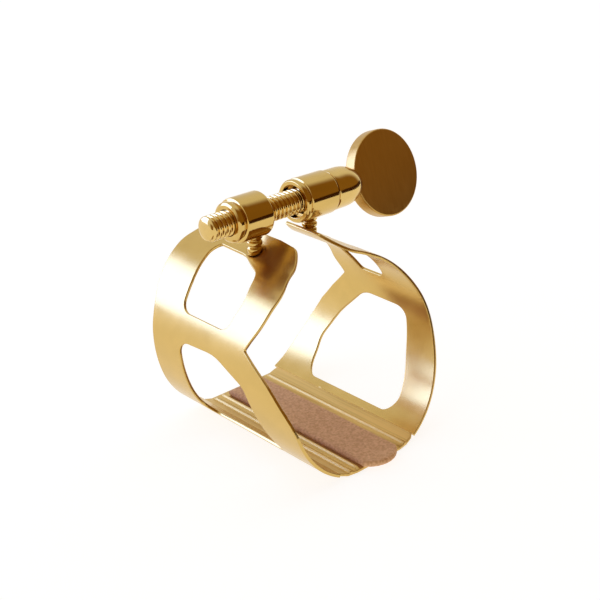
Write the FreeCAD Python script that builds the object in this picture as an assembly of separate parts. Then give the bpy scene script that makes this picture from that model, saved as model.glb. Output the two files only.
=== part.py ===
"""One-screw saxophone ligature: an open band, two barrels, a thumb screw and a reed pad.

Frame: the mouthpiece axis is Y, the screw axis is parallel to X, Z is up. The origin is on the
mouthpiece axis, below the screw. -X is the near side, with the threaded barrel, and +X is the
far side, with the plain barrel and the screw's head. +Y is the short end of the band.
"""
import FreeCAD
import Part
import math
import os

V = FreeCAD.Vector

# ---- driving dimensions, millimetres -------------------------------------------------------
SHEET = 0.4                   # band sheet
WAIST_Z = -1.15               # height where the band is widest
CROWN_R, CROWN_X = 10.65, 2.3         # upper arc of one side: outer radius, centre
FLANK_R = 16.0                # lower arc of one side: outer radius
FLANK_X = CROWN_X + CROWN_R - FLANK_R
FLANK_END = -20.4             # angle where the lower arc gives way to the bottom bend
BEND_R, RUN_SLOPE = 11.0, 28.5         # bottom bend, and slope of the run in to the crease
SEAM_X, SEAM_GAP = 6.5, 0.06          # crease between a side and the bottom plate
BASE_Z = -13.3                # outer face of the flat bottom
FLAT_X = 4.95                 # half width of the flat bottom; its flanges slope up to the crease
LIP_X = 5.2                   # where the tab at the slit starts to curve up to its barrel
LIP_R, LIP_SWEEP = 5.45, 36.0

SCREW_Z = 14.0                # screw axis height
BARREL_R = 2.65
NEAR_BARREL = (-8.5, -3.4)    # ends of the threaded barrel along X
FAR_BARREL = (1.7, 7.05)      # ends of the plain barrel along X
FOOT_X = 4.4                  # both feet stand at this distance from the middle
FOOT_GAP = 0.16               # working gap under each foot
FOOT_PROFILE = [              # (radius, height) of a foot, from its lower bead to the barrel
    (0, 8.9), (0.86, 8.9), (0.88, 9.8), (0.8, 10.0), (0.6, 10.12), (0.6, 10.2), (0.8, 10.3),
    (0.88, 10.5), (0.8, 10.7), (0.62, 10.82), (0.62, 10.92), (0.8, 11.15), (0.94, 11.3),
    (0.94, 12.3), (0, 12.3)]

THREAD_R, THREAD_PITCH, THREAD_DEPTH = 1.5, 0.635, 0.3
THREAD_CLEAR = 0.06           # threaded barrel's bore over the thread crests
SHANK_R, SHANK_CLEAR = 1.7, 0.06      # plain stretch that turns in the plain barrel
MOUTH_R, MOUTH_DEPTH = 2.0, 1.2       # counterbore at the plain barrel's mouth
TIP_X, TIP_DOME = -11.7, 0.55         # end of the domed tip, and the dome's height
SHANK_X = 3.3                 # where the thread stops and the shank starts
HEAD_GAP = 0.12               # between the plain barrel and the screw's collar
COLLAR_R, NECK_R = 2.5, 1.0
COLLAR_LEN, DOME_LEN = 1.6, 3.7
DISC_R, DISC_THICK = 5.47, 1.75
DISC_X = 17.05
DISC_TURN = 20.2              # how far the screw is turned from standing its disc upright

PLATE_Y = (-16.4, 8.1)        # ends of the bottom plate
RAIL_X, RAIL_STEP = 3.35, 1.2         # inner rail from the middle, and spacing to the outer one
RAIL_W, RAIL_TOP = 0.6, -12.55
PAD_HALF, PAD_TOP = 2.85, -12.15
PAD_Y = (-17.9, 7.2)
PAD_END_R = 3.4


def circle_point(centre, radius, degrees):
    angle = math.radians(degrees)
    return V(centre[0] + radius * math.cos(angle), 0, centre[1] + radius * math.sin(angle))


def arc(centre, radius, start, end):
    """Arc in the XZ plane about centre (x, z), between two angles in degrees."""
    points = [circle_point(centre, radius, a) for a in (start, (start + end) / 2, end)]
    return Part.Arc(*points).toShape()


def box(x, y, z):
    """Box from three (low, high) pairs."""
    return Part.makeBox(x[1] - x[0], y[1] - y[0], z[1] - z[0], V(x[0], y[0], z[0]))


def rounded_wire(points, to_vector):
    """Closed wire through (a, b, corner radius) points, its corners rounded by tangent arcs."""
    count = len(points)
    corners = []
    for i, (a, b, radius) in enumerate(points):
        here = V(a, b, 0)
        back = V(*points[i - 1][:2], 0) - here
        ahead = V(*points[(i + 1) % count][:2], 0) - here
        back.normalize()
        ahead.normalize()
        half_angle = back.getAngle(ahead) / 2
        if radius == 0:
            corners.append((here, here, here))
            continue
        reach = radius / math.tan(half_angle)
        middle = back + ahead
        middle.normalize()
        crown = here + middle * (radius / math.sin(half_angle) - radius)
        corners.append((here + back * reach, crown, here + ahead * reach))
    edges = []
    for i, (start, crown, end) in enumerate(corners):
        if (end - start).Length > 1e-6:
            edges.append(Part.Arc(*[to_vector(p) for p in (start, crown, end)]).toShape())
        following = corners[(i + 1) % count][0]
        if (following - end).Length > 1e-6:
            edges.append(Part.makeLine(to_vector(end), to_vector(following)))
    return Part.Wire(edges)


def side_prism(points, low_x, high_x):
    """Prism along X with a rounded outline given in the side view (Y, Z)."""
    wire = rounded_wire(points, lambda p: V(low_x, p.x, p.y))
    return Part.Face(wire).extrude(V(high_x - low_x, 0, 0))


def plan_prism(points, low_z, high_z):
    """Prism along Z with a rounded outline given in the plan view (X, Y)."""
    wire = rounded_wire(points, lambda p: V(p.x, p.y, low_z))
    return Part.Face(wire).extrude(V(0, 0, high_z - low_z))


def turned(profile, z=SCREW_Z):
    """Solid of revolution about the X line at height z; profile is a closed list of (x, radius)."""
    points = [V(x, 0, z + r) for x, r in profile]
    face = Part.Face(Part.makePolygon(points + points[:1]))
    return face.revolve(V(0, 0, z), V(1, 0, 0), 360)


def save(name, shape):
    solids = shape.Solids
    whole = solids[0] if len(solids) == 1 else Part.makeCompound(solids)
    whole.exportStep("parts/" + name + ".step")
    size = whole.BoundBox
    print(name, len(solids), whole.isValid(), round(whole.Volume, 1),
          [round(v, 2) for v in (size.XMin, size.YMin, size.ZMin, size.XMax, size.YMax, size.ZMax)])


# ---- band sides ----------------------------------------------------------------------------

def lip_circle():
    """Centre (x, z) of the far tab's curve, and the angle on the crown where it starts."""
    angle = math.degrees(math.acos((LIP_X - CROWN_X) / CROWN_R))
    centre = circle_point((CROWN_X, WAIST_Z), CROWN_R + LIP_R, angle)
    return (centre.x, centre.z), angle


def side_section():
    """Cross-section of the far side, as one closed face of sheet thickness."""
    crown = (CROWN_X, WAIST_Z)
    flank = (FLANK_X, WAIST_Z)
    lip, lip_angle = lip_circle()
    lip_end = lip_angle + 180 - LIP_SWEEP
    bend_centre = circle_point(flank, FLANK_R - BEND_R, FLANK_END)
    bend = (bend_centre.x, bend_centre.z)
    fall = math.tan(math.radians(RUN_SLOPE))

    edges = []
    ends = []
    for inset in (0, SHEET):
        edges.append(arc(lip, LIP_R + inset, lip_angle + 180, lip_end))
        edges.append(arc(crown, CROWN_R - inset, 0, lip_angle))
        edges.append(arc(flank, FLANK_R - inset, FLANK_END, 0))
        edges.append(arc(bend, BEND_R - inset, RUN_SLOPE - 90, FLANK_END))
        run_start = circle_point(bend, BEND_R - inset, RUN_SLOPE - 90)
        crease = V(SEAM_X, 0, run_start.z - fall * (run_start.x - SEAM_X))
        edges.append(Part.makeLine(run_start, crease))
        ends.append((circle_point(lip, LIP_R + inset, lip_end), crease))
    edges.append(Part.makeLine(ends[0][0], ends[1][0]))
    edges.append(Part.makeLine(ends[0][1], ends[1][1]))
    return Part.Face(Part.Wire(Part.__sortEdges__(edges)))


def band_side(outline, windows):
    """Far side of the band: the bent sheet, cut to an outline and windows given in side view."""
    section = side_section()
    section.translate(V(0, -20, 0))
    sheet = section.extrude(V(0, 34, 0))
    sheet = sheet.common(side_prism(outline, 0.5, 15))
    for window in windows:
        sheet = sheet.cut(side_prism(window, 4.0, 15))
    return sheet


def mirrored(shape):
    return shape.mirror(V(0, 0, 0), V(1, 0, 0))


# Side-view outlines (Y, Z, corner radius). The flared short-end edge of the near side is plain,
# and that of the far side is notched at the waist. The long-end edges are the other way round.
NEAR_OUTLINE = [
    (8.7, -14, 0), (9.0, 2.5, 12), (10.9, 9.4, 1.2), (4.6, 12.0, 1.5), (0.5, 11.2, 4.0),
    (-5.0, 10.75, 1.6), (-8.6, 7.9, 1.6), (-8.5, 5.0, 5.0), (-7.1, 2.0, 0.25),
    (-11.4, -0.7, 10), (-15.3, -4.8, 6), (-16.4, -14, 0)]
NEAR_UPPER = [(5.65, 9.15, 0.5), (0.6, 9.1, 8.0), (-3.3, 8.4, 1.4), (-4.4, 6.2, 2.2),
              (-3.6, 3.0, 1.4), (4.1, 3.0, 1.4), (4.5, 6.0, 8.0)]
NEAR_LOWER = [(4.0, -0.5, 1.8), (-2.4, -0.15, 5.0), (-7.2, -2.4, 2.5), (-11.2, -11.2, 1.5),
              (3.4, -11.2, 2.0)]

FAR_OUTLINE = [
    (8.6, -14, 0), (8.4, -9.6, 10), (6.1, -3.4, 16), (1.6, 1.6, 0.3), (2.9, 3.6, 2.0),
    (1.6, 12.0, 0.8), (-1.2, 12.0, 0.5), (-5.9, 10.1, 1.0), (-8.6, 8.6, 1.5),
    (-11.6, 2.3, 18), (-14.2, -5.8, 18), (-16.4, -14, 0)]
FAR_UPPER = [(0.2, 8.6, 1.0), (-5.2, 8.6, 1.2), (-5.8, 3.4, 0.9), (-1.9, 3.4, 0.9), (-0.2, 5.8, 3.0)]
FAR_LOWER = [(-1.6, -0.2, 3.0), (-8.5, -0.3, 1.8), (-9.5, -6.0, 14.0), (-11.6, -12.2, 1.3),
             (3.6, -12.2, 2.2), (4.5, -8.3, 2.5), (2.5, -4.5, 10.0)]

# ---- bottom plate and pad ------------------------------------------------------------------

def saddle_plate():
    """Bottom of the band: flat middle, sloped flanges, two raised rails on each side of the pad."""
    half = SEAM_X - SEAM_GAP
    seam = side_section().common(box((half - 1, SEAM_X + 0.01), (-1, 1), (BASE_Z - 1, -10))).BoundBox
    outline = [(-half, PLATE_Y[0] + 0.5, 0.6), (-half, PLATE_Y[1], 0.4), (half, PLATE_Y[1], 0.4),
               (half, PLATE_Y[0] + 0.5, 0.6), (3.6, PLATE_Y[0], 0.8), (-3.6, PLATE_Y[0], 0.8)]
    lower = [V(-half, 0, seam.ZMin), V(-FLAT_X, 0, BASE_Z), V(FLAT_X, 0, BASE_Z), V(half, 0, seam.ZMin)]
    upper = [V(half, 0, seam.ZMax), V(FLAT_X, 0, BASE_Z + SHEET), V(-FLAT_X, 0, BASE_Z + SHEET),
             V(-half, 0, seam.ZMax)]
    section = Part.Face(Part.makePolygon(lower + upper + lower[:1]))
    section.translate(V(0, -20, 0))
    plate = section.extrude(V(0, 40, 0)).common(plan_prism(outline, BASE_Z - 1, BASE_Z + 3))
    height = RAIL_TOP - BASE_Z - SHEET
    for sign in (-1, 1):
        for x in (RAIL_X, RAIL_X + RAIL_STEP):
            low_x = sign * x - RAIL_W / 2
            rail = box((low_x, low_x + RAIL_W), (PLATE_Y[0] + 0.1, PLATE_Y[1] - 0.1),
                       (BASE_Z + SHEET - 0.1, RAIL_TOP))
            tops = [e for e in rail.Edges if e.CenterOfMass.z > RAIL_TOP - 0.01 and e.Length > 5]
            rail = rail.makeFillet(min(RAIL_W, height) * 0.4, tops)
            plate = plate.fuse(rail)
    return plate.removeSplitter()


def reed_pad():
    """Soft strip between the rails, with a rounded tongue past the long end of the plate."""
    low, high = PAD_Y
    strip = box((-PAD_HALF, PAD_HALF), (low, high), (BASE_Z + SHEET, PAD_TOP))
    tongue = Part.makeCylinder(PAD_END_R, PAD_TOP - BASE_Z, V(0, low + PAD_END_R, BASE_Z))
    body = box((-PAD_HALF, PAD_HALF), (low + PAD_END_R, high), (BASE_Z, PAD_TOP))
    return strip.common(tongue.fuse(body)).removeSplitter()


# ---- barrels and feet ----------------------------------------------------------------------

def threaded_barrel():
    """Near barrel: bored through for the thread, a bead at its open end, a lip at the other."""
    low, high = NEAR_BARREL
    bore = THREAD_R + THREAD_CLEAR
    return turned([
        (low, bore), (low, BARREL_R - 0.55), (low + 0.2, BARREL_R - 0.3), (low + 0.65, BARREL_R - 0.3),
        (low + 0.75, BARREL_R - 0.45), (low + 0.95, BARREL_R - 0.45), (low + 1.1, BARREL_R - 0.1),
        (low + 1.25, BARREL_R), (high - 0.2, BARREL_R), (high, BARREL_R - 0.2), (high, bore)])


def plain_barrel():
    """Far barrel: plain bore with a counterbored mouth and a bead behind its face."""
    low, high = FAR_BARREL
    bore = SHANK_R + SHANK_CLEAR
    return turned([
        (low, MOUTH_R), (low, BARREL_R - 0.25), (low + 0.2, BARREL_R - 0.05), (low + 0.6, BARREL_R - 0.05),
        (low + 0.7, BARREL_R - 0.2), (low + 0.85, BARREL_R - 0.2), (low + 0.95, BARREL_R),
        (high - 0.15, BARREL_R), (high, BARREL_R - 0.15), (high, bore),
        (low + MOUTH_DEPTH, bore), (low + MOUTH_DEPTH, MOUTH_R)])


def foot(side, barrel):
    """Small turned post with two beads, from just above a tab (side is -1 or 1) to its barrel."""
    post = Part.Face(Part.makePolygon([V(r, 0, z) for r, z in FOOT_PROFILE + FOOT_PROFILE[:1]]))
    post = post.revolve(V(0, 0, 0), V(0, 0, 1), 360)
    post.translate(V(side * FOOT_X, 0, 0))
    lip = lip_circle()[0]
    above = Part.makeCylinder(LIP_R - FOOT_GAP, 10, V(side * lip[0], -5, lip[1]), V(0, 1, 0))
    room = Part.makeCylinder(BARREL_R - 0.1, 40, V(-20, 0, SCREW_Z), V(1, 0, 0))
    return post.common(above).cut(room).cut(barrel)


# ---- screw ---------------------------------------------------------------------------------

def screw_rod():
    """Threaded rod with a domed tip and a plain shank; the thread is cut as closed grooves."""
    core = THREAD_R - THREAD_DEPTH
    start = TIP_X + TIP_DOME
    count = int((SHANK_X - 0.5 - start) / THREAD_PITCH)
    profile = [(TIP_X, 0)]
    for degrees in (20, 40, 60, 80):
        angle = math.radians(degrees)
        profile.append((TIP_X + TIP_DOME * (1 - math.cos(angle)), THREAD_R * math.sin(angle)))
    for i in range(count):
        x = start + i * THREAD_PITCH
        profile.append((x + 0.06, THREAD_R))
        profile.append((x + THREAD_PITCH / 2, core))
        profile.append((x + THREAD_PITCH - 0.06, THREAD_R))
    profile.append((SHANK_X - 0.3, core))
    profile.append((SHANK_X, SHANK_R))
    end = FAR_BARREL[1] + HEAD_GAP
    profile.append((end, SHANK_R))
    profile.append((end, 0))
    return turned(profile)


def screw_collar():
    """Collar that bears on the plain barrel, and the dome that carries the thumb disc."""
    low = FAR_BARREL[1] + HEAD_GAP
    dome = low + COLLAR_LEN
    profile = [(low, 0), (low, COLLAR_R - 0.15), (low + 0.15, COLLAR_R)]
    for share in (0, 0.25, 0.45, 0.6, 0.75, 0.88, 1):
        drop = (COLLAR_R - NECK_R) * share ** 2.7
        profile.append((dome + DOME_LEN * share, COLLAR_R - drop))
    profile.append((dome + DOME_LEN, 0))
    return turned(profile).cut(disc_blank())


def disc_blank():
    """Round thumb disc in the plane of the screw axis, at the angle the screw is turned to."""
    half = DISC_THICK / 2
    disc = Part.makeCylinder(DISC_R, DISC_THICK, V(DISC_X, -half, SCREW_Z), V(0, 1, 0))
    disc.rotate(V(0, 0, SCREW_Z), V(1, 0, 0), -DISC_TURN)
    return disc


def thumb_disc():
    disc = disc_blank()
    rims = [e for e in disc.Edges if isinstance(e.Curve, Part.Circle)]
    return disc.makeFillet(0.3, rims)


def main():
    os.makedirs("parts", exist_ok=True)
    save("far_wall", band_side(FAR_OUTLINE, [FAR_UPPER, FAR_LOWER]))
    save("near_wall", mirrored(band_side(NEAR_OUTLINE, [NEAR_UPPER, NEAR_LOWER])))
    save("saddle_plate", saddle_plate())
    save("reed_pad", reed_pad())

    near_barrel = threaded_barrel()
    far_barrel = plain_barrel()
    save("threaded_barrel", near_barrel)
    save("plain_barrel", far_barrel)

    save("near_foot", foot(-1, near_barrel))
    save("far_foot", foot(1, far_barrel))

    save("screw_rod", screw_rod())
    save("screw_collar", screw_collar())
    save("thumb_disc", thumb_disc())


main()
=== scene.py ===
"""Visual model of a one-screw saxophone ligature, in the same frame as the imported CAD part."""

import bpy
import math
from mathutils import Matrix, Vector
from mathutils.geometry import delaunay_2d_cdt


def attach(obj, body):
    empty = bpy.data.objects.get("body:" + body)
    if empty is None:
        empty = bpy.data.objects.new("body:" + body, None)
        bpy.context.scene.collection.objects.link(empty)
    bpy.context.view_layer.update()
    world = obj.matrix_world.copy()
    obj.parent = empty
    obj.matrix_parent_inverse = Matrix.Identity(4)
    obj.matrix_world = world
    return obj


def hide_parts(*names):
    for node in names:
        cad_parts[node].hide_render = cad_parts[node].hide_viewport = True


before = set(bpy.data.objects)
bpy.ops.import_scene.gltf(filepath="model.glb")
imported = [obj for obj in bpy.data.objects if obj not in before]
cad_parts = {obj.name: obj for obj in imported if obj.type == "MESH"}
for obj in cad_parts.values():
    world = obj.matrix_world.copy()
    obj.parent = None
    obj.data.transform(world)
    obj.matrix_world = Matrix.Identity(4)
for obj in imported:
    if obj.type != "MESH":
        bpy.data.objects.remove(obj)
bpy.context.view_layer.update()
MM = 0.001

# ---- sizes in millimetres, the same as the CAD's ----------------------------------------------
SHEET = 0.4
WAIST_Z = -1.15
CROWN_R, CROWN_X = 10.65, 2.3
FLANK_R = 16.0
FLANK_X = CROWN_X + CROWN_R - FLANK_R
FLANK_END = -20.4
BEND_R, RUN_SLOPE = 11.0, 28.5
SEAM_X, SEAM_GAP = 6.5, 0.06
LIP_X, LIP_R, LIP_SWEEP = 5.2, 5.45, 36.0
BASE_Z, FLAT_X = -13.3, 4.95
SCREW_Z = 14.0
BARREL_R = 2.65
NEAR_BARREL = (-8.5, -3.4)
FAR_BARREL = (1.7, 7.05)
NEAR_BORE_R, FAR_BORE_R = 1.56, 1.76
MOUTH_R, MOUTH_DEPTH = 2.0, 1.2
FOOT_X, FOOT_GAP = 4.4, 0.16
FOOT_LOW = 8.9
FOOT_PROFILE = [(0.9, FOOT_LOW, 0), (0.92, 10.05, 0.3), (0.66, 10.22, 0.12), (0.94, 10.4, 0.25),
                (0.94, 10.8, 0.25), (0.68, 10.98, 0.12), (0.94, 11.25, 0.2), (0.94, 12.3, 0)]
THREAD_R, THREAD_PITCH, THREAD_DEPTH = 1.5, 0.635, 0.3
SHANK_R, SHANK_X = 1.7, 3.3
TIP_X, TIP_DOME = -11.7, 0.55
COLLAR_R, NECK_R, HEAD_GAP = 2.5, 1.0, 0.12
COLLAR_LEN, DOME_LEN = 1.6, 3.7
DISC_R, DISC_THICK, DISC_X, DISC_TURN = 5.47, 1.75, 17.05, 20.2
PLATE_Y = (-16.4, 8.1)
RAIL_X, RAIL_STEP, RAIL_W, RAIL_TOP = 3.35, 1.2, 0.6, -12.55
PAD_HALF, PAD_TOP, PAD_Y, PAD_END_R = 2.85, -12.15, (-17.9, 7.2), 3.4

# ---- fineness of the meshes -------------------------------------------------------------------
RIM = 0.1                       # radius of the sheets' rounded rims
GUARD = 0.04                    # how far inside each rim a second row of points runs
GRID = 0.45                     # spacing of points on the flat of a side
SHARP = math.radians(50)        # edges that bend more than this keep a crisp shade


# ---- small mesh helpers -----------------------------------------------------------------------

def make_object(name, verts, faces):
    """Smooth-shaded mesh object from vertices in millimetres."""
    mesh = bpy.data.meshes.new(name)
    mesh.from_pydata([(x * MM, y * MM, z * MM) for x, y, z in verts], [], faces)
    mesh.validate()
    mesh.polygons.foreach_set("use_smooth", [True] * len(mesh.polygons))
    mesh.update()
    made = bpy.data.objects.new(name, mesh)
    bpy.context.collection.objects.link(made)
    return made


def show(made, body, material, node):
    """Gives a piece its material and body, and hides the CAD node it stands for."""
    for painted in (made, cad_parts[node]):
        painted.data.materials.clear()
        painted.data.materials.append(material)
    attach(made, body)
    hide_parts(node)
    return made


def rounded(points, steps=6, closed=True):
    """Polyline through (a, b, corner radius) points, with each corner turned into an arc."""
    out = []
    count = len(points)
    for i, (a, b, radius) in enumerate(points):
        here = Vector((a, b))
        if radius <= 0 or (not closed and i in (0, count - 1)):
            out.append(here)
            continue
        back = (Vector(points[i - 1][:2]) - here).normalized()
        ahead = (Vector(points[(i + 1) % count][:2]) - here).normalized()
        half = back.angle(ahead) / 2
        reach = radius / math.tan(half)
        centre = here + (back + ahead).normalized() * (radius / math.sin(half))
        first = here + back * reach - centre
        turn = math.pi - 2 * half
        sign = -1 if first.cross(back) > 0 else 1
        number = max(2, int(steps * turn / 1.2) + 1)
        for k in range(number + 1):
            angle = sign * turn * k / number
            c, s = math.cos(angle), math.sin(angle)
            out.append(centre + Vector((first.x * c - first.y * s, first.x * s + first.y * c)))
    return out


def profile_of(points, closed=True):
    """Rounded profile as (x, radius) pairs, from (x, radius, corner radius) points."""
    return [(p.x, p.y) for p in rounded(points, 8, closed)]


def circle_steps(around):
    """Cosine and sine of angles spread evenly round a circle."""
    angles = [2 * math.pi * j / around for j in range(around)]
    return [(math.cos(angle), math.sin(angle)) for angle in angles]


def bands(rings, around, first=0, closed=False):
    """Quads between one ring of vertices and the next."""
    faces = []
    for i in range(rings if closed else rings - 1):
        a, b = first + i * around, first + (i + 1) % rings * around
        for j in range(around):
            j2 = (j + 1) % around
            faces.append((a + j, a + j2, b + j2, b + j))
    return faces


def lathe(name, profile, closed=False):
    """Surface turned about the screw's axis, from (x, radius) pairs."""
    around = 96
    steps = circle_steps(around)
    verts = [(x, r * c, SCREW_Z + r * s) for x, r in profile for c, s in steps]
    faces = [(a, d, c, b) for a, b, c, d in bands(len(profile), around, closed=closed)]
    return make_object(name, verts, faces)


# ---- the band's sides --------------------------------------------------------------------------

def on_circle(centre, radius, degrees):
    """Point of a circle in the plane of the cross-section."""
    angle = math.radians(degrees)
    return Vector((centre[0] + radius * math.cos(angle), centre[1] + radius * math.sin(angle)))


LIP_ANGLE = math.degrees(math.acos((LIP_X - CROWN_X) / CROWN_R))
LIP_CENTRE = on_circle((CROWN_X, WAIST_Z), CROWN_R + LIP_R, LIP_ANGLE)


def side_section(spacing=0.12):
    """Outer face of the far side's cross-section, from the crease up to the lip.

    Each entry is (distance along, point, outward normal).
    """
    crown = (CROWN_X, WAIST_Z)
    flank = (FLANK_X, WAIST_Z)
    bend = on_circle(flank, FLANK_R - BEND_R, FLANK_END)
    run_start = on_circle(bend, BEND_R, RUN_SLOPE - 90)
    fall = math.tan(math.radians(RUN_SLOPE))
    crease = Vector((SEAM_X, run_start.y - fall * (run_start.x - SEAM_X)))
    pieces = [("line", crease, run_start),
              ("arc", bend, BEND_R, RUN_SLOPE - 90, FLANK_END, 1),
              ("arc", flank, FLANK_R, FLANK_END, 0, 1),
              ("arc", crown, CROWN_R, 0, LIP_ANGLE, 1),
              ("arc", LIP_CENTRE, LIP_R, LIP_ANGLE + 180, LIP_ANGLE + 180 - LIP_SWEEP, -1)]
    rows = []
    along = 0.0
    for piece in pieces:
        if piece[0] == "line":
            length = (piece[2] - piece[1]).length
            number = max(2, int(length / spacing))
            slope = math.radians(RUN_SLOPE)
            normal = Vector((math.sin(slope), -math.cos(slope)))
            for k in range(number + 1):
                point = piece[1].lerp(piece[2], k / number)
                rows.append((along + length * k / number, point, normal))
        else:
            _, centre, radius, first, last, facing = piece
            length = radius * math.radians(abs(last - first))
            number = max(3, int(length / spacing))
            for k in range(1, number + 1):
                angle = first + (last - first) * k / number
                point = on_circle(centre, radius, angle)
                normal = (point - Vector(centre)).normalized() * facing
                rows.append((along + length * k / number, point, normal))
        along += length
    return rows


SECTION = side_section()


def section_at(along):
    """Outer point and normal of the section at a distance along it."""
    low, high = 0, len(SECTION) - 1
    if along <= 0:
        return SECTION[0][1], SECTION[0][2]
    if along >= SECTION[-1][0]:
        return SECTION[-1][1], SECTION[-1][2]
    while high - low > 1:
        middle = (low + high) // 2
        if SECTION[middle][0] > along:
            high = middle
        else:
            low = middle
    a, b = SECTION[low], SECTION[high]
    share = (along - a[0]) / max(1e-9, b[0] - a[0])
    return a[1].lerp(b[1], share), a[2].lerp(b[2], share).normalized()


def along_at(z):
    """Distance along the section where its outer face is at height z."""
    if z <= SECTION[0][1].y:
        return 0.0
    for a, b in zip(SECTION, SECTION[1:]):
        if b[1].y >= z:
            return a[0] + (b[0] - a[0]) * (z - a[1].y) / max(1e-9, b[1].y - a[1].y)
    return SECTION[-1][0]


def clip_at_height(points, limit, keep_above):
    """Keeps the part of a closed outline on one side of a height."""
    out = []
    for i, here in enumerate(points):
        there = points[(i + 1) % len(points)]
        keep_here = (here.y >= limit) == keep_above
        keep_there = (there.y >= limit) == keep_above
        if keep_here:
            out.append(here)
        if keep_here != keep_there:
            out.append(here.lerp(there, (limit - here.y) / (there.y - here.y)))
    return out


def densify(points, spacing):
    """Closed loop with points added at about this spacing, and near doubles left out."""
    out = []
    for i, here in enumerate(points):
        there = points[(i + 1) % len(points)]
        number = max(1, int((there - here).length / spacing))
        for k in range(number):
            out.append(here.lerp(there, k / number))
    clean = [out[0]]
    for p in out[1:]:
        if (p - clean[-1]).length > 0.02:
            clean.append(p)
    return clean


def area(points):
    """Signed area of a closed loop, positive when it runs anticlockwise."""
    return sum(a.cross(b) for a, b in zip(points, points[1:] + points[:1])) / 2


def inset(points, distance):
    """Moves a closed loop towards its left side, mitring the corners."""
    out = []
    count = len(points)
    for i, here in enumerate(points):
        back = (here - points[i - 1]).normalized()
        ahead = (points[(i + 1) % count] - here).normalized()
        n1 = Vector((-back.y, back.x))
        n2 = Vector((-ahead.y, ahead.x))
        middle = n1 + n2
        if middle.length < 1e-6:
            middle = n1
        middle.normalize()
        out.append(here + middle * (distance / max(0.45, middle.dot(n1))))
    return out


def inside(point, loop):
    """Whether a point is inside a closed loop."""
    x, y = point
    hit = False
    for a, b in zip(loop, loop[1:] + loop[:1]):
        if (a.y > y) != (b.y > y) and x < a.x + (b.x - a.x) * (y - a.y) / (b.y - a.y):
            hit = not hit
    return hit


def on_sheet(spot, loops):
    """Whether a flat point is inside the outline, the first loop, and outside every window."""
    return inside(spot, loops[0]) and not any(inside(spot, window) for window in loops[1:])


def unrolled(outline, windows):
    """The outline and windows laid flat, each loop running so that the sheet is on its left."""
    lowest, highest = SECTION[0][1].y, SECTION[-1][1].y
    cropped = clip_at_height(clip_at_height(rounded(outline), lowest, True), highest, False)
    flat = []
    for i, loop in enumerate([cropped] + [rounded(window) for window in windows]):
        loop = densify([Vector((p.x, along_at(p.y))) for p in densify(loop, 0.25)], 0.14)
        if (area(loop) > 0) == (i > 0):
            loop.reverse()
        flat.append(loop)
    return flat


def flat_faces(flat, inner_loops):
    """Triangulates the sheet between its rims.

    Returns the points, the faces, and where each point of the inner loops went.
    """
    points = [p for loop in inner_loops for p in loop]
    edges = []
    base = 0
    for loop in inner_loops:
        edges += [(base + i, base + (i + 1) % len(loop)) for i in range(len(loop))]
        base += len(loop)
    # a second row of points just inside each rim keeps the rim's shading off the flat sheet
    spots = [spot for loop in flat for spot in inset(loop, RIM + GUARD)]
    ends = [p.x for p in flat[0]]
    y = min(ends) + GRID
    while y < max(ends):
        along = GRID
        while along < SECTION[-1][0]:
            spots.append(Vector((y, along)))
            along += GRID
        y += GRID
    points += [spot for spot in spots if on_sheet(spot, inner_loops)]
    placed, _, faces, origin, _, _ = delaunay_2d_cdt(points, edges, [], 0, 1e-5)
    where = {old: new for new, olds in enumerate(origin) for old in olds}
    kept = []
    for face in faces:
        centre = sum((placed[i] for i in face), Vector((0, 0))) / len(face)
        if on_sheet(centre, inner_loops):
            kept.append(face)
    return placed, kept, where


def rim_profile():
    """Section of a rounded rim, from face to face, as (distance in from the edge, depth) pairs."""
    quarter = []
    for k in range(4):
        angle = math.pi / 2 * k / 3
        quarter.append((RIM * (1 - math.sin(angle)), RIM * (1 - math.cos(angle))))
    return quarter + [(away, SHEET - depth) for away, depth in reversed(quarter)]


def sheet_piece(name, outline, windows, side):
    """One side of the band as a bent sheet with rounded rims and a square edge at the crease."""
    flat = unrolled(outline, windows)
    inner_loops = [inset(loop, RIM) for loop in flat]
    for point, moved in zip(flat[0], inner_loops[0]):
        if point.y < 1e-6:
            moved.y = 0.0
    placed, kept, where = flat_faces(flat, inner_loops)
    verts, faces = [], []

    def place(flat_point, depth):
        point, normal = section_at(flat_point.y)
        verts.append((side * (point.x - normal.x * depth), flat_point.x, point.y - normal.y * depth))

    def add(face):
        faces.append(tuple(reversed(face)) if side < 0 else tuple(face))

    for depth in (0.0, SHEET):
        for p in placed:
            place(p, depth)
    count = len(placed)
    for face in kept:
        add(face)
        add([i + count for i in reversed(face)])
    base = 0
    for loop, inner in zip(flat, inner_loops):
        number = len(loop)
        face_row = [where[base + i] for i in range(number)]
        rows = [face_row]
        for away, depth in rim_profile()[1:-1]:
            rows.append(list(range(len(verts), len(verts) + number)))
            for rim_point, inner_point in zip(loop, inner):
                place(rim_point.lerp(inner_point, away / RIM), depth)
        rows.append([i + count for i in face_row])
        for a, b in zip(rows, rows[1:]):
            for i in range(number):
                j = (i + 1) % number
                add([a[i], b[i], b[j], a[j]])
        base += number
    made = make_object(name, verts, faces)
    made.data.set_sharp_from_angle(angle=SHARP)
    return made


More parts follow.
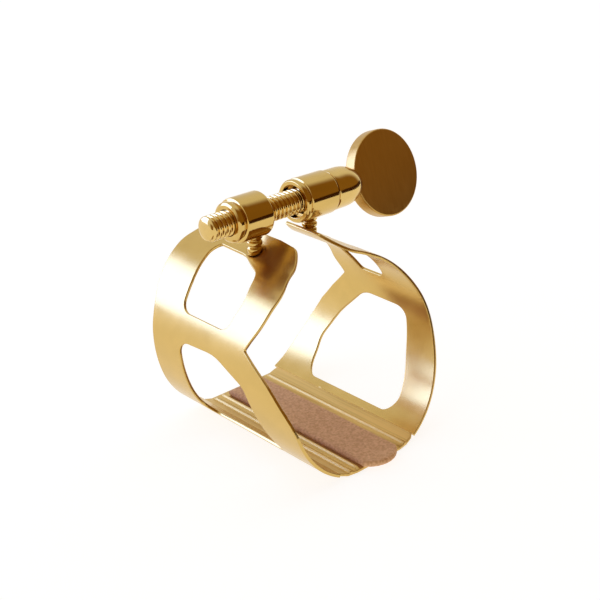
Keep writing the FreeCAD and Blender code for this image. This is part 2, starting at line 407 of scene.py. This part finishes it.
# outlines and windows seen from the side: (y, z, corner radius), cropped to the section's height
NEAR_OUTLINE = [
    (8.7, -14, 0), (9.0, 2.5, 12), (10.9, 9.4, 1.2), (4.6, 12.0, 1.5), (0.5, 11.2, 4.0),
    (-5.0, 10.75, 1.6), (-8.6, 7.9, 1.6), (-8.5, 5.0, 5.0), (-7.1, 2.0, 0.25),
    (-11.4, -0.7, 10), (-15.3, -4.8, 6), (-16.4, -14, 0)]
NEAR_UPPER = [(5.65, 9.15, 0.5), (0.6, 9.1, 8.0), (-3.3, 8.4, 1.4), (-4.4, 6.2, 2.2),
              (-3.6, 3.0, 1.4), (4.1, 3.0, 1.4), (4.5, 6.0, 8.0)]
NEAR_LOWER = [(4.0, -0.5, 1.8), (-2.4, -0.15, 5.0), (-7.2, -2.4, 2.5), (-11.2, -11.2, 1.5),
              (3.4, -11.2, 2.0)]
FAR_OUTLINE = [
    (8.6, -14, 0), (8.4, -9.6, 10), (6.1, -3.4, 16), (1.6, 1.6, 0.3), (2.9, 3.6, 2.0),
    (1.6, 12.0, 0.8), (-1.2, 12.0, 0.5), (-5.9, 10.1, 1.0), (-8.6, 8.6, 1.5),
    (-11.6, 2.3, 18), (-14.2, -5.8, 18), (-16.4, -14, 0)]
FAR_UPPER = [(0.2, 8.6, 1.0), (-5.2, 8.6, 1.2), (-5.8, 3.4, 0.9), (-1.9, 3.4, 0.9), (-0.2, 5.8, 3.0)]
FAR_LOWER = [(-1.6, -0.2, 3.0), (-8.5, -0.3, 1.8), (-9.5, -6.0, 14.0), (-11.6, -12.2, 1.3),
             (3.6, -12.2, 2.2), (4.5, -8.3, 2.5), (2.5, -4.5, 10.0)]


# ---- materials ---------------------------------------------------------------------------------

def principled(name, color, metallic, roughness):
    """New material, as itself, its nodes, its links and its shader."""
    material = bpy.data.materials.new(name)
    material.use_nodes = True
    nodes = material.node_tree.nodes
    shader = nodes["Principled BSDF"]
    shader.inputs["Base Color"].default_value = (*color, 1)
    shader.inputs["Metallic"].default_value = metallic
    shader.inputs["Roughness"].default_value = roughness
    return material, nodes, material.node_tree.links, shader


def noise(nodes, links, scale, stretch=(1, 1, 1), detail=4.0):
    """Noise texture in object space, stretched along the axes, in millimetres."""
    coords = nodes.new("ShaderNodeTexCoord")
    mapping = nodes.new("ShaderNodeMapping")
    mapping.inputs["Scale"].default_value = [1000 * s for s in stretch]
    texture = nodes.new("ShaderNodeTexNoise")
    texture.inputs["Scale"].default_value = scale
    texture.inputs["Detail"].default_value = detail
    links.new(coords.outputs["Object"], mapping.inputs["Vector"])
    links.new(mapping.outputs["Vector"], texture.inputs["Vector"])
    return texture


def ramp(nodes, links, source, low, high, colors):
    """Colour ramp from a texture's factor."""
    node = nodes.new("ShaderNodeValToRGB")
    node.color_ramp.elements[0].position = low
    node.color_ramp.elements[1].position = high
    node.color_ramp.elements[0].color = (*colors[0], 1)
    node.color_ramp.elements[1].color = (*colors[1], 1)
    links.new(source, node.inputs["Fac"])
    return node


def bump(nodes, links, shader, texture, strength, distance):
    """Raises the surface by a texture's factor."""
    height = nodes.new("ShaderNodeBump")
    height.inputs["Strength"].default_value = strength
    height.inputs["Distance"].default_value = distance
    links.new(texture.outputs["Fac"], height.inputs["Height"])
    links.new(height.outputs["Normal"], shader.inputs["Normal"])


def brass(name, color, roughness, scale, stretch=(1, 1, 1), relief=0.02, spread=0.05, dark=0.93):
    """Lacquered brass: slight tone and roughness changes and a fine bump, stretched along the polish."""
    material, nodes, links, shader = principled(name, color, 1.0, roughness)
    texture = noise(nodes, links, scale, stretch)
    deeper = tuple(c * dark for c in color)
    tone = ramp(nodes, links, texture.outputs["Fac"], 0.35, 0.65, (deeper, color))
    links.new(tone.outputs["Color"], shader.inputs["Base Color"])
    grey = ramp(nodes, links, texture.outputs["Fac"], 0.3, 0.7,
                ((roughness,) * 3, (roughness + spread,) * 3))
    links.new(grey.outputs["Color"], shader.inputs["Roughness"])
    bump(nodes, links, shader, texture, relief, 0.1 * MM)
    return material


GOLD = (0.68, 0.455, 0.135)
band_brass = brass("band_brass", GOLD, 0.21, 0.35)
saddle_brass = brass("saddle_brass", (0.76, 0.51, 0.16), 0.36, 1.2, stretch=(3, 0.05, 3),
                     spread=0.12, dark=0.8)
barrel_brass = brass("barrel_brass", GOLD, 0.07, 1.0, stretch=(0.2, 1, 1))
screw_brass = brass("screw_brass", (0.74, 0.51, 0.17), 0.1, 1.0)
disc_brass = brass("disc_brass", (0.6, 0.36, 0.09), 0.28, 1.0, stretch=(5, 1, 0.2),
                   relief=0.1, spread=0.1)


def leather():
    """Speckled suede."""
    material, nodes, links, shader = principled("pad_leather", (0.55, 0.38, 0.24), 0.0, 0.9)
    fine = noise(nodes, links, 3.4, detail=8.0)
    tone = ramp(nodes, links, fine.outputs["Fac"], 0.35, 0.68, ((0.66, 0.38, 0.19), (0.9, 0.58, 0.33)))
    links.new(tone.outputs["Color"], shader.inputs["Base Color"])
    bump(nodes, links, shader, fine, 0.5, 0.12 * MM)
    return material


pad_leather = leather()

# ---- pieces ------------------------------------------------------------------------------------

def far_side():
    """Side of the band under the plain barrel."""
    return sheet_piece("far_side_sheet", FAR_OUTLINE, [FAR_UPPER, FAR_LOWER], 1)


def near_side():
    """Side of the band under the threaded barrel."""
    return sheet_piece("near_side_sheet", NEAR_OUTLINE, [NEAR_UPPER, NEAR_LOWER], -1)


def threaded_barrel():
    """Barrel with a bead and a groove at its open end, and a bore that clears the thread."""
    low, high = NEAR_BARREL
    r = BARREL_R
    return lathe("near_barrel_tube", profile_of([
        (low, NEAR_BORE_R, 0.05), (low, r - 0.62, 0.1), (low + 0.22, r - 0.3, 0.25),
        (low + 0.7, r - 0.3, 0.12), (low + 0.8, r - 0.47, 0.04), (low + 0.93, r - 0.47, 0.04),
        (low + 1.05, r - 0.04, 0.12), (low + 1.5, r, 0.3), (high, r, 0.45),
        (high, NEAR_BORE_R, 0.1)]), closed=True)


def plain_barrel():
    """Barrel with a bead and a counterbored mouth, and a plain bore for the screw's shank."""
    low, high = FAR_BARREL
    r = BARREL_R
    return lathe("far_barrel_tube", profile_of([
        (low, MOUTH_R, 0.08), (low, r - 0.2, 0.12), (low + 0.2, r - 0.04, 0.15),
        (low + 0.55, r - 0.04, 0.12), (low + 0.66, r - 0.24, 0.04), (low + 0.78, r - 0.24, 0.04),
        (low + 0.92, r, 0.12), (high - 0.05, r, 0.3), (high - 0.05, FAR_BORE_R, 0.05),
        (low + MOUTH_DEPTH, FAR_BORE_R, 0.05), (low + MOUTH_DEPTH, MOUTH_R, 0.05)]), closed=True)


def screw_rod():
    """Rod with a right-hand helical thread, a domed tip and a plain shank."""
    end = FAR_BARREL[1] + HEAD_GAP + 0.3
    around = 72
    dome_power = 2.4
    threaded_step, plain_step = THREAD_PITCH / 14, THREAD_PITCH / 2
    root, flank = 0.12, 0.62        # shares of half a pitch
    steps = circle_steps(around)
    stations = []
    x = TIP_X
    while x < end:
        stations.append(x)
        x += threaded_step if x < SHANK_X + 0.2 else plain_step
    stations.append(end)
    verts = [(TIP_X, 0, SCREW_Z)]
    for x in stations[1:]:
        into = min(1.0, (x - TIP_X) / TIP_DOME)
        dome = (1 - (1 - into) ** dome_power) ** (1 / dome_power)
        runout = min(1.0, max(0.0, (SHANK_X - x) / 0.5))
        plain = 0.5 - 0.5 * math.cos(math.pi * min(1.0, max(0.0, (x - SHANK_X + 0.1) / 0.25)))
        for j, (c, s) in enumerate(steps):
            phase = (x / THREAD_PITCH - j / around) % 1.0
            tooth = min(1.0, max(0.0, (abs(phase - 0.5) * 2 - root) / flank))
            tooth = tooth * tooth * (3 - 2 * tooth)
            r = THREAD_R - THREAD_DEPTH * (1 - tooth * runout) * min(1.0, into * 1.1)
            r = (r + (SHANK_R - r) * plain) * dome
            verts.append((x, r * c, SCREW_Z + r * s))
    rings = len(stations) - 1
    faces = [(0, 1 + (j + 1) % around, 1 + j) for j in range(around)]
    faces += bands(rings, around, first=1)
    faces.append(tuple(range(1 + (rings - 1) * around, 1 + rings * around)))
    return make_object("screw_thread", verts, faces)


def screw_collar():
    """Collar with a softened rim and a dome that narrows to the disc."""
    low = FAR_BARREL[1] + HEAD_GAP
    dome = low + COLLAR_LEN
    steps, dome_power = 32, 2.7
    profile = profile_of([(low, 1.0, 0), (low, COLLAR_R - 0.02, 0.22), (low + 0.5, COLLAR_R, 0.5),
                          (dome, COLLAR_R, 0)], closed=False)
    for k in range(1, steps + 1):
        share = k / steps
        profile.append((dome + DOME_LEN * share, COLLAR_R - (COLLAR_R - NECK_R) * share ** dome_power))
    return lathe("screw_head", profile)


def thumb_disc():
    """Flat disc with softened rims, turned to the screw's angle."""
    half = DISC_THICK / 2
    profile = profile_of([(-half, 0.02, 0), (-half, DISC_R, 0.22), (half, DISC_R, 0.22),
                          (half, 0.02, 0)], closed=False)
    around = 180
    turn = math.radians(-DISC_TURN)
    c, s = math.cos(turn), math.sin(turn)
    verts = []
    for off, r in profile:
        for across, up in circle_steps(around):
            verts.append((DISC_X + r * across, off * c - r * up * s, SCREW_Z + off * s + r * up * c))
    faces = bands(len(profile), around)
    last = (len(profile) - 1) * around
    faces.append(tuple(reversed(range(around))))
    faces.append(tuple(range(last, last + around)))
    made = make_object("thumb_plate", verts, faces)
    for flat_face in (-1, -2):
        made.data.polygons[flat_face].use_smooth = False
    return made


def foot(name, side):
    """Turned post with two beads, shaped to the tab below it and the barrel above it."""
    around = 48
    underside = [Vector((r, FOOT_LOW)) for r in (0.02, 0.3, 0.55, 0.75)]
    rows = underside + rounded(FOOT_PROFILE, 10, closed=False)
    verts = []
    for p in rows:
        for c, s in circle_steps(around):
            x, y = FOOT_X + p.x * c, p.x * s
            floor_z = LIP_CENTRE.y - math.sqrt((LIP_R - FOOT_GAP) ** 2 - (x - LIP_CENTRE.x) ** 2)
            roof_z = SCREW_Z - math.sqrt((BARREL_R - 0.1) ** 2 - y * y)
            verts.append((side * x, y, min(max(p.y, floor_z), roof_z)))
    faces = bands(len(rows), around)
    if side < 0:
        faces = [tuple(reversed(face)) for face in faces]
    return make_object(name, verts, faces)


def slab(name, columns, low_end, high_end, top, bottom, edge, spacing, soft_sides=True):
    """Plate between two height functions of (x, y), with ends that depend on x and soft rims."""
    soft = (0.0, 0.1, 0.3, 0.6, 1.0)
    half = max(columns)

    def drop(distance):
        inside_rim = max(0.0, edge - distance)
        return edge - math.sqrt(max(0.0, edge * edge - inside_rim * inside_rim))

    stations = [k * edge for k in soft]
    body = max(high_end(x) - low_end(x) for x in columns) - 2 * edge
    number = int(body / spacing)
    verts_top, verts_bottom = [], []
    for x in columns:
        low, high = low_end(x), high_end(x)
        ys = [low + d for d in stations]
        ys += [low + edge + (high - low - 2 * edge) * k / number for k in range(1, number)]
        ys += [high - d for d in reversed(stations)]
        for y in ys:
            off = drop(min(y - low, high - y, half - abs(x) if soft_sides else edge))
            t, b = top(x, y), bottom(x, y)
            off = min(off, (t - b) / 2)
            verts_top.append((x, y, t - off))
            verts_bottom.append((x, y, b + off))
    rows = len(verts_top) // len(columns)
    total = len(verts_top)
    faces = []
    for i in range(len(columns) - 1):
        for j in range(rows - 1):
            a, b = i * rows + j, (i + 1) * rows + j
            faces.append((a, b, b + 1, a + 1))
            faces.append((total + a, total + a + 1, total + b + 1, total + b))
    rim = [i * rows for i in range(len(columns))]
    rim += [(len(columns) - 1) * rows + j for j in range(1, rows)]
    rim += [i * rows + rows - 1 for i in range(len(columns) - 2, -1, -1)]
    rim += [j for j in range(rows - 2, 0, -1)]
    for a, b in zip(rim, rim[1:] + rim[:1]):
        faces.append((a, total + a, total + b, b))
    made = make_object(name, verts_top + verts_bottom, faces)
    made.data.set_sharp_from_angle(angle=SHARP)
    return made


def spread_columns(half, edge, marks, spacing):
    """Sorted x stations across a plate: an even spread, the rims, and extra ones round each mark."""
    fine = 0.055
    found = {-half, half}
    for k in (0.1, 0.3, 0.6, 1.0):
        found |= {half - k * edge, k * edge - half}
    x = -half + edge
    while x < half - edge:
        found.add(x)
        x += spacing
    for mark in marks:
        for k in range(-8, 9):
            found |= {mark + k * fine, -mark + k * fine}
    kept = []
    for x in sorted(v for v in found if -half <= v <= half):
        if not kept or x - kept[-1] > 0.008:
            kept.append(x)
    kept[-1] = half
    return kept


def saddle_plate():
    """Bottom of the band: flat middle, sloped flanges and four rolled rails.

    The inner corners of the sides' square edges lean over the flanges, so the sheets overlap along
    each crease by under 0.1 mm.
    """
    half = SEAM_X - SEAM_GAP
    crease = SECTION[0][1]
    inner = crease - SECTION[0][2] * SHEET
    floor_top = BASE_Z + SHEET
    taper_from, taper = 3.6, 0.5
    rail_reach = RAIL_W / 2 + 0.1
    rail_height = 0.6 * (RAIL_TOP - floor_top)
    rail_inset, rail_ramp = 0.12, 0.25

    def corner(x, radius):
        inside_corner = max(0.0, abs(x) - (half - radius))
        return radius - math.sqrt(max(0.0, radius ** 2 - inside_corner ** 2))

    def up_flange(x):
        """Share of the way from the flat's edge to the crease."""
        return max(0.0, abs(x) - FLAT_X) / (crease.x - FLAT_X)

    def low_end(x):
        return PLATE_Y[0] + max(0.0, abs(x) - taper_from) / (half - taper_from) * taper + corner(x, 0.6)

    def high_end(x):
        return PLATE_Y[1] - corner(x, 0.4)

    def bottom(x, y):
        return BASE_Z + (crease.y - BASE_Z) * up_flange(x)

    def top(x, y):
        height = floor_top + (inner.y - floor_top) * up_flange(x)
        end = min(y - PLATE_Y[0] - rail_inset, PLATE_Y[1] - rail_inset - y) / rail_ramp
        end = math.sqrt(max(0.0, 1 - (1 - min(1.0, max(0.0, end))) ** 2))
        for rail_x in (RAIL_X, RAIL_X + RAIL_STEP):
            away = abs(abs(x) - rail_x) / rail_reach
            if away < 1:
                ridge = 0.5 + 0.5 * math.cos(math.pi * away)
                height = max(height, floor_top + rail_height * ridge * end)
        return height

    columns = spread_columns(half, RIM, (RAIL_X, RAIL_X + RAIL_STEP), 0.3)
    return slab("saddle_sheet", columns, low_end, high_end, top, bottom, RIM, 0.35, soft_sides=False)


def reed_pad():
    """Soft strip with a rounded tongue; its edges roll over and its nap is a little uneven."""
    lumps = [(1.9, 0.7, 0.4), (0.8, 1.7, 1.1), (3.1, 2.3, 2.0), (4.7, 3.9, 0.3)]
    roll = 0.3

    def low_end(x):
        return PAD_Y[0] + PAD_END_R - math.sqrt(PAD_END_R ** 2 - x * x)

    def high_end(x):
        return PAD_Y[1]

    def bottom(x, y):
        return BASE_Z + SHEET

    def top(x, y):
        uneven = sum(math.sin(a * x + b * y + c) for a, b, c in lumps) / len(lumps)
        return PAD_TOP - 0.04 + 0.03 * uneven

    columns = spread_columns(PAD_HALF, roll, (), 0.2)
    return slab("pad_strip", columns, low_end, high_end, top, bottom, roll, 0.2)


show(far_side(), "far_side", band_brass, "far_wall")
show(near_side(), "near_side", band_brass, "near_wall")
show(threaded_barrel(), "near_barrel", barrel_brass, "threaded_barrel")
show(plain_barrel(), "far_barrel", barrel_brass, "plain_barrel")
show(foot("near_post", -1), "near_barrel", barrel_brass, "near_foot")
show(foot("far_post", 1), "far_barrel", barrel_brass, "far_foot")
show(screw_rod(), "screw", screw_brass, "screw_rod")
show(screw_collar(), "screw", screw_brass, "screw_collar")
show(thumb_disc(), "screw", disc_brass, "thumb_disc")
show(saddle_plate(), "saddle", saddle_brass, "saddle_plate")
pad = show(reed_pad(), "saddle", pad_leather, "reed_pad")

# ---- floor, light and camera -------------------------------------------------------------------

FLOOR_GAP = 0.02
SOFTBOX_COLOR = (0.17, 0.285, 0.93)     # a strong blue, which brass reflects as near white
SOFTBOX_RADIANCE = 7.5
SOFTBOX_AT = {"azimuth": 128, "elevation": 21, "distance": 0.5}


def plane(name, size, place, turn=(0, 0, 0)):
    """Rectangle about its own middle, in metres."""
    w, h = size[0] / 2, size[1] / 2
    mesh = bpy.data.meshes.new(name)
    mesh.from_pydata([(-w, -h, 0), (w, -h, 0), (w, h, 0), (-w, h, 0)], [], [(0, 1, 2, 3)])
    made = bpy.data.objects.new(name, mesh)
    made.location = place
    made.rotation_euler = turn
    bpy.context.collection.objects.link(made)
    return made


floor = plane("floor", (6, 6), (0, 0, (BASE_Z - FLOOR_GAP) * MM))
paper, _, _, shader = principled("paper", (0.35, 0.35, 0.35), 0.0, 0.9)
shader.inputs["Specular IOR Level"].default_value = 0.1
shader.inputs["Emission Color"].default_value = (1, 1, 1, 1)
shader.inputs["Emission Strength"].default_value = 0.82
floor.data.materials.append(paper)


def studio():
    """Pale room behind the object, blending to a dark warm brown in front of it."""
    world = bpy.data.worlds.new("studio")
    bpy.context.scene.world = world
    world.use_nodes = True
    nodes, links = world.node_tree.nodes, world.node_tree.links
    coords = nodes.new("ShaderNodeTexCoord")
    axes = nodes.new("ShaderNodeSeparateXYZ")
    links.new(coords.outputs["Generated"], axes.inputs["Vector"])
    front = nodes.new("ShaderNodeMapRange")
    front.interpolation_type = "SMOOTHSTEP"
    front.inputs["From Min"].default_value = -0.32
    front.inputs["From Max"].default_value = 0.1
    links.new(axes.outputs["Y"], front.inputs["Value"])
    blend = nodes.new("ShaderNodeMix")
    blend.data_type = "RGBA"
    blend.inputs["A"].default_value = (0.27, 0.14, 0.022, 1)
    blend.inputs["B"].default_value = (0.85, 0.85, 0.85, 1)
    links.new(front.outputs["Result"], blend.inputs["Factor"])
    links.new(blend.outputs["Result"], nodes["Background"].inputs["Color"])
    nodes["Background"].inputs["Strength"].default_value = 1.0


studio()


def area_light(name, size, radiance, color, azimuth, elevation, distance):
    """Rectangular light facing the object, from a direction in degrees."""
    a, e = math.radians(azimuth), math.radians(elevation)
    place = Vector((math.cos(a) * math.cos(e), math.sin(a) * math.cos(e), math.sin(e))) * distance
    light = bpy.data.lights.new(name, "AREA")
    light.shape = "RECTANGLE"
    light.size, light.size_y = size
    light.energy = radiance * math.pi * size[0] * size[1]
    light.color = color
    made = bpy.data.objects.new(name, light)
    made.location = place
    made.rotation_euler = (-place).to_track_quat("-Z", "Y").to_euler()
    bpy.context.collection.objects.link(made)
    return made


# three nested panels make one softbox with a soft rim, kept off diffuse surfaces so that the pad
# and the floor aren't tinted by its colour
for name, width, height in (("softbox_rim", 0.43, 0.36), ("softbox_middle", 0.34, 0.28),
                            ("softbox_core", 0.25, 0.2)):
    panel = area_light(name, (width, height), SOFTBOX_RADIANCE, SOFTBOX_COLOR, **SOFTBOX_AT)
    panel.visible_diffuse = False

# a low dark card standing in front, seen only in reflections
card = plane("card", (0.3, 0.036), (0.106, -0.106, 5 * MM), (math.radians(90), 0, math.radians(45)))
dark, _, _, shader = principled("card_dark", (0.05, 0.014, 0.002), 0.0, 0.9)
shader.inputs["Specular IOR Level"].default_value = 0.0
card.data.materials.append(dark)
card.visible_camera = False
card.visible_diffuse = False
card.visible_shadow = False

scene = bpy.context.scene
scene.view_settings.view_transform = "Standard"

camera_data = bpy.data.cameras.new("camera")
camera_data.sensor_width = 36
camera_data.lens = 71.27
camera_data.clip_start = 0.005
camera_data.dof.use_dof = False
camera = bpy.data.objects.new("camera", camera_data)
camera.location = (-88.33 * MM, -95.30 * MM, 61.14 * MM)
camera.rotation_euler = (math.radians(90 - 24.504), 0, math.radians(-43.733))
bpy.context.collection.objects.link(camera)
scene.camera = camera
